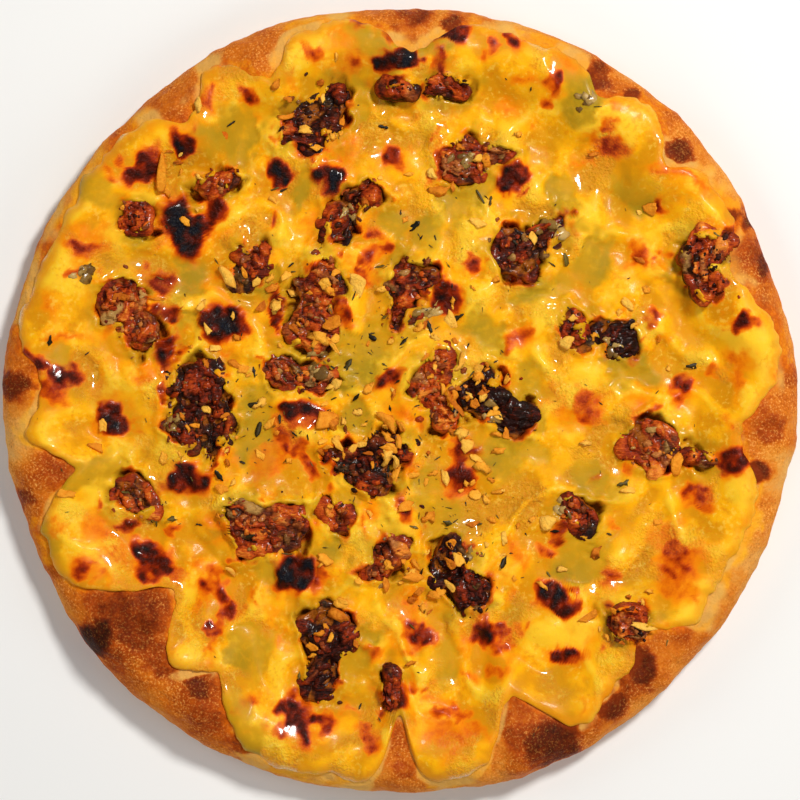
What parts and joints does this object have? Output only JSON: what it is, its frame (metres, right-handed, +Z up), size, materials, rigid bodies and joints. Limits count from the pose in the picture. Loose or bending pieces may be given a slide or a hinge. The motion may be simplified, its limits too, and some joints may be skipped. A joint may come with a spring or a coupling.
{
  "type": "steak pizza",
  "caption": "Whole round baked pizza with a puffed browned rim, melted cheese, clumps of chopped steak, fried garlic flakes and dried herbs.",
  "frame": {"origin": "centre of the flat underside of the crust", "axes": "+Z up through the pizza, +X to the right and +Y to the far side as it is seen from above in the picture"},
  "size_m": [0.2822, 0.2778, 0.0248],
  "materials": {
    "crust": "matte, browned and freckled baked bread with floury patches",
    "cheese": "glossy melted cheese, golden yellow with browned and charred blisters and translucent oily pools",
    "steak": "crumbly chopped steak, dark brown, oily and semi-gloss"
  },
  "bodies": {
    "root": {"crust": "crust", "cheese": "cheese", "steak_01": "steak", "steak_02": "steak", "steak_03": "steak", "steak_04": "steak", "steak_05": "steak", "steak_06": "steak", "steak_07": "steak", "steak_08": "steak", "steak_09": "steak", "steak_10": "steak", "steak_11": "steak", "steak_12": "steak", "steak_13": "steak", "steak_14": "steak", "steak_15": "steak", "steak_16": "steak", "steak_17": "steak", "steak_18": "steak", "steak_19": "steak", "steak_20": "steak", "steak_21": "steak", "steak_22": "steak", "steak_23": "steak", "steak_24": "steak", "steak_25": "steak", "steak_26": "steak", "steak_27": "steak", "steak_28": "steak", "steak_29": "steak", "steak_30": "steak", "steak_31": "steak"}
  },
  "joints": []
}
